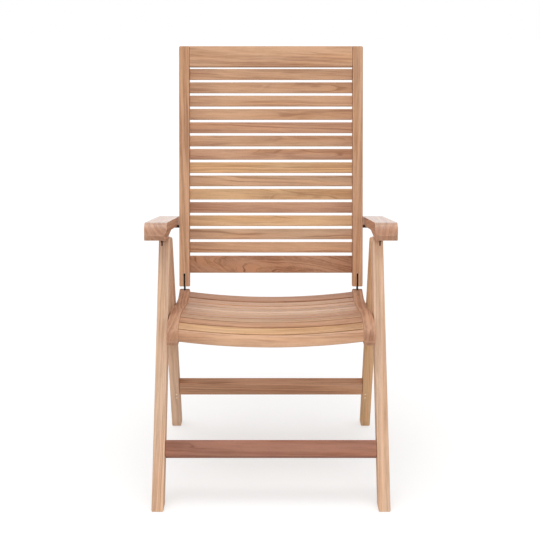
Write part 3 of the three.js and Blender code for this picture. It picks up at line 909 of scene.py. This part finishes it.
def make_back():
    front = -STILE_DEPTH / 2
    stile = lean_back(make_stile())
    up = Vector((0, *UP_BACK))
    fit_board(mirror_of(stile), "back_stile_left", up, "honey", 51)
    fit_board(stile, "back_stile_right", up, "honey", 52)
    half = FRAME_INNER - SEAM
    for node, setback, low, height, tone, figure in (
        ("back_top_rail", TOP_RAIL_SETBACK, BACK_TOP - TOP_RAIL, TOP_RAIL, "honey", {"seed": 53}),
        (
            "back_bottom_rail", BOTTOM_RAIL_SETBACK, BOTTOM_RAIL_LOW, BOTTOM_RAIL, "brown",
            {"seed": 54, "waves": 2.0, "lean": 0.3, "contrast": 1.35, "ends": FRAME_INNER},
        ),
    ):
        face = front + setback
        rail = block((-FRAME_INNER, face, low), (FRAME_INNER, face + BACK_RAIL_DEPTH, low + height))
        bevel_some(rail, lambda a, b: abs(a.x - b.x) > half, EASE, 3)
        fit_board(lean_back(rail), node, ACROSS, tone, **figure)
    space = BACK_TOP - TOP_RAIL - BOTTOM_RAIL_LOW - BOTTOM_RAIL
    gap = (space - BACK_SLATS * BACK_SLAT) / (BACK_SLATS + 1)
    slat_front = front + BACK_SLAT_SETBACK
    slat = block((-half, slat_front, 0), (half, slat_front + BACK_SLAT_DEPTH, BACK_SLAT), BACK_SLAT_EASE)
    for i, tone in enumerate(BACK_TONES):
        low = BOTTOM_RAIL_LOW + BOTTOM_RAIL + BACK_SLAT_LIFT + gap + i * (BACK_SLAT + gap)
        copy = lean_back(copy_of(slat), low)
        fit_board(copy, f"back_slat_{i + 1:02d}", ACROSS, tone, 61 + i, ends=FRAME_INNER)
    bpy.data.objects.remove(slat)


# Arms


ARM_UNDER = LINK_PIN.y + LEG_WIDTH / 2 + LEG_CLEARANCE
ARM_NOSE = LINK_PIN.x - ARM_NOSE_REACH
ARM_END = ARM_NOSE + ARM_LENGTH
ARM_BEND = Vector((ARM_NOSE + ARM_FLAT, ARM_UNDER))
DOWN_ARM = Vector((math.cos(ARM_FALL), -math.sin(ARM_FALL)))
OFF_ARM = Vector((math.sin(ARM_FALL), math.cos(ARM_FALL)))


def arm_outline():
    """The arm from its nose along the underside, up the rear end and back along the top."""
    fall = math.tan(ARM_FALL)
    crest = Vector((ARM_NOSE + ARM_NOSE_ROUND, ARM_UNDER + ARM_HEIGHT))
    under_end = ARM_UNDER - (ARM_END - ARM_BEND.x) * fall
    top_end = crest.y - (ARM_END - crest.x) * fall
    half = ARM_NOSE_ROUND / 2
    end_top = Vector((ARM_END, top_end))
    end_down = end_top - Vector((0, ARM_END_ROUND))
    end_along = end_top + Vector((-ARM_END_ROUND, ARM_END_ROUND * fall))
    nose = Vector((ARM_NOSE, ARM_UNDER + ARM_NOSE_FACE))
    outline = [Vector((ARM_NOSE + ARM_NOSE_UNDERCUT, ARM_UNDER)), ARM_BEND, Vector((ARM_END, under_end))]
    outline += bow(end_down, end_top, end_along, 6)
    outline += bow(crest, crest + Vector((-half, half * fall)), nose, 14)
    return outline


def notch_centre(step, peg):
    """Where a notch lies that holds the peg at one step of the recline."""
    turn = -step * RECLINE_STEP
    radius = peg - UPPER_HINGE
    turned = Vector((
        radius.x * math.cos(turn) - radius.y * math.sin(turn),
        radius.x * math.sin(turn) + radius.y * math.cos(turn),
    ))
    reach = (UPPER_HINGE + turned - ARM_PIN).length
    pin_height = (ARM_PIN - ARM_BEND).dot(OFF_ARM)
    along = math.sqrt(reach**2 - (pin_height + SEAM) ** 2)
    return ARM_PIN + DOWN_ARM * along + OFF_ARM * (NOTCH_DEPTH - NOTCH_ROUND - pin_height)


def round_arm(arm):
    """Rounds the arm's edges over, most of all along the outside of its top."""
    arm.data.attributes.new("bevel_weight_edge", "FLOAT", "EDGE")
    weights = arm.data.attributes["bevel_weight_edge"].data
    faces = {}
    for face in arm.data.polygons:
        for key in face.edge_keys:
            faces.setdefault(key, []).append(face.normal.copy())
    for edge in arm.data.edges:
        first, second = faces[edge.key]
        if first.angle(second) < EDGE_ABOVE:
            continue
        start, end = (arm.data.vertices[i].co for i in edge.vertices)
        middle = (start + end) / 2
        outside = middle.x > ARM_OUTER - ARM_CORNER
        on_top = max(first.z, second.z) > 0.3
        weights[edge.index].value = 1.0 if outside and on_top else ARM_OTHER_EASE_SHARE
    modify(arm, "BEVEL", width=ARM_TOP_EASE, segments=6, limit_method="WEIGHT")


def make_arms():
    arm = sawn(arm_outline(), ARM_INNER, ARM_OUTER)
    plan = block((ARM_INNER, ARM_NOSE, 0), (ARM_OUTER, ARM_END, ARM_BLANK))
    bevel_some(plan, lambda a, b: abs(a.z - b.z) > ARM_BLANK / 2, ARM_CORNER, 8)
    keep_common(arm, plan)
    round_arm(arm)
    sweep = round_plate([LINK_PIN, ARM_PIN], LINK_ROUND + LEG_CLEARANCE)
    swing = 2 * LINK_ROUND + LEG_CLEARANCE
    low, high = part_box("arm_peg_right")
    peg = flat((low + high) / 2)
    cut_away(
        arm,
        sawn(sweep, LINK_X - KERF / 2, LINK_X + KERF / 2),
        saw_slot(LINK_X, (ARM_PIN.x - swing, ARM_UNDER - OVERRUN), (LINK_PIN.x + swing, ARM_PIN.y)),
        dowel(PIN_HOLE, ARM_INNER - OVERRUN, ARM_INNER + ARM_PIN_LENGTH + 2 * SEAM, ARM_PIN),
        *(
            dowel(NOTCH_ROUND, ARM_INNER - OVERRUN, ARM_INNER + NOTCH_REACH, notch_centre(step, peg))
            for step in range(NOTCHES)
        ),
    )
    down = Vector((0, *DOWN_ARM))
    fit_board(mirror_of(arm), "arm_left", down, "rosy", 81, polish=0.75)
    fit_board(arm, "arm_right", down, "rosy", 82, polish=0.75)


# Steel


def plate(pins, radius, x, holes, thickness=PLATE):
    """A steel plate on edge, with a round end about each pin and its edges eased."""
    steel = sawn(round_plate(pins, radius), x - thickness / 2, x + thickness / 2, STEEL_EASE)
    return cut_away(steel, *(dowel(PIN_HOLE, x - thickness, x + thickness, at) for at in holes))


def make_plates():
    tail = LINK_PIN - PLATE_TAIL * UP_FRONT_LEG
    leg_plate = plate([tail, REAR_PIVOT, LINK_PIN], PLATE_ROUND, PLATE_X, [LINK_PIN, REAR_PIVOT])
    add_on(leg_plate, dowel(PIN, LEG_INNER + SEAM, LEG_OUTER - SEAM, tail, STEEL_EASE))
    fit_pair(leg_plate, "leg_hinge_plate", DARK_STEEL, "dark_steel")
    top = UPPER_HINGE + PLATE_TOP * UP_BACK
    back_plate = plate([LOWER_HINGE, top], PLATE_ROUND, FRAME_MIDDLE, [], BACK_PLATE)
    for at in (LOWER_HINGE, UPPER_HINGE):
        add_on(back_plate, dowel(PIN, FRAME_INNER + SEAM, FRAME_OUTER - SEAM, at, STEEL_EASE))
    fit_pair(back_plate, "back_hinge_plate", DARK_STEEL, "dark_steel")
    link = plate([LINK_PIN, ARM_PIN], LINK_ROUND, LINK_X, [LINK_PIN, ARM_PIN])
    fit_pair(link, "arm_link", DARK_STEEL, "dark_steel")


def make_pins():
    for node, start, end, at in (
        ("leg_top_pin", LEG_INNER + SEAM, LEG_OUTER - SEAM, LINK_PIN),
        ("rear_leg_pin", LEG_INNER + SEAM, REAR_OUTER - SEAM, REAR_PIVOT),
        ("arm_pin", ARM_INNER + SEAM, ARM_INNER + ARM_PIN_LENGTH, ARM_PIN),
    ):
        fit_pair(dowel(PIN, start, end, at, PIN_EASE), node, BRIGHT_STEEL, "bright_steel")
    low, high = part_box("arm_peg_right")
    peg = dowel((high.z - low.z) / 2, low.x, high.x, flat((low + high) / 2), PEG_EASE)
    fit_pair(peg, "arm_peg", DARK_STEEL, "dark_steel")


def make_seat_bolts():
    """Shoulder bolts with a round head and a six-sided socket for the key."""
    head_from = LEG_OUTER - BOLT_HEAD_HEIGHT - SEAM
    socket_from = LEG_OUTER - BOLT_HEAD_HEIGHT * KEY_SOCKET_SHARE
    shank = dowel(BOLT, FRAME_INNER + SEAM, head_from, SEAT_PIVOT, BOLT_EASE)
    collar = dowel(BOLT_HEAD, FRAME_OUTER + SEAM, LEG_INNER - SEAM, SEAT_PIVOT, COLLAR_EASE)
    head = dowel(BOLT_HEAD, head_from, LEG_OUTER - SEAM, SEAT_PIVOT, BOLT_EASE, sides=40)
    bolt = add_on(head, shank, collar)
    cut_away(bolt, dowel(KEY_SOCKET, socket_from, LEG_OUTER + OVERRUN, SEAT_PIVOT, sides=6))
    fit_pair(bolt, "seat_pivot_bolt", BRIGHT_STEEL, "bright_steel")


make_legs()
make_stretchers()
make_rails()
make_seat_slats()
make_back()
make_arms()
make_plates()
make_pins()
make_seat_bolts()


# The studio


class Room(Finish):
    """The studio's surroundings, whose nodes are made as a material's are."""

    def __init__(self, world):
        self.tree = world.node_tree
        self.shader = self.tree.nodes["Background"]


def seen_directly(finish):
    """1 for what the camera sees, straight or mirrored in something, 0 for light that falls on the chair."""
    path = finish.node("ShaderNodeLightPath").socket.node
    seen = Value(finish, path.outputs["Is Camera Ray"]) + Value(finish, path.outputs["Is Glossy Ray"])
    seen = seen + Value(finish, path.outputs["Is Transmission Ray"])
    return finish.node("ShaderNodeMath", {"operation": "MINIMUM"}, {0: seen, 1: 1.0})


def make_floor():
    bpy.ops.object.select_all(action="DESELECT")
    bpy.ops.mesh.primitive_plane_add(size=FLOOR_SIZE, location=(0, 0, -FLOOR_DROP))
    floor = bpy.context.object
    floor.name = floor.data.name = "studio_floor"
    paint = Finish("floor_paint")
    seen = seen_directly(paint)
    paint.done({
        "Base Color": paint.blend(seen, (0.8, 0.8, 0.8, 1), (0.5, 0.5, 0.5, 1)),
        "Roughness": 0.9,
        "Specular IOR Level": 0.0,
        "Emission Color": paint.blend(seen, (0, 0, 0, 1), (0.56, 0.56, 0.56, 1)),
        "Emission Strength": 1.0,
    })
    floor.data.materials.append(paint.material)


def add_sun(name, strength, softness, towards):
    lamp = bpy.data.lights.new(name, "SUN")
    lamp.energy = strength
    lamp.angle = math.radians(softness)
    lamp_object = bpy.data.objects.new(name, lamp)
    bpy.context.collection.objects.link(lamp_object)
    lamp_object.rotation_euler = Vector(towards).to_track_quat("-Z", "Y").to_euler()


def make_studio():
    make_floor()
    world = bpy.data.worlds.new("studio")
    bpy.context.scene.world = world
    world.use_nodes = True
    room = Room(world)
    strength = WORLD_LIGHT + (1 - WORLD_LIGHT) * seen_directly(room)
    room.plug(room.shader, {"Color": (1, 1, 1, 1), "Strength": strength})
    add_sun("top_light", 1.3, 50, (0.05, 0.08, -1))
    add_sun("front_light", 0.95, 60, (0, 1, -0.08))
    for side, towards in zip(SIDES, (1, -1)):
        add_sun(side + "_light", 0.45, 60, (towards, 0.35, -0.1))


def make_camera():
    lens = bpy.data.cameras.new("camera")
    lens.lens = CAMERA_LENS
    lens.sensor_width = CAMERA_SENSOR
    lens.shift_x = -1 / PHOTO_WIDTH
    camera = bpy.data.objects.new("camera", lens)
    bpy.context.collection.objects.link(camera)
    camera.location = CAMERA_PLACE
    camera.rotation_euler = (math.pi / 2 - CAMERA_TILT, 0, 0)
    bpy.context.scene.camera = camera


make_studio()
make_camera()
bpy.context.scene.view_settings.view_transform = "Standard"
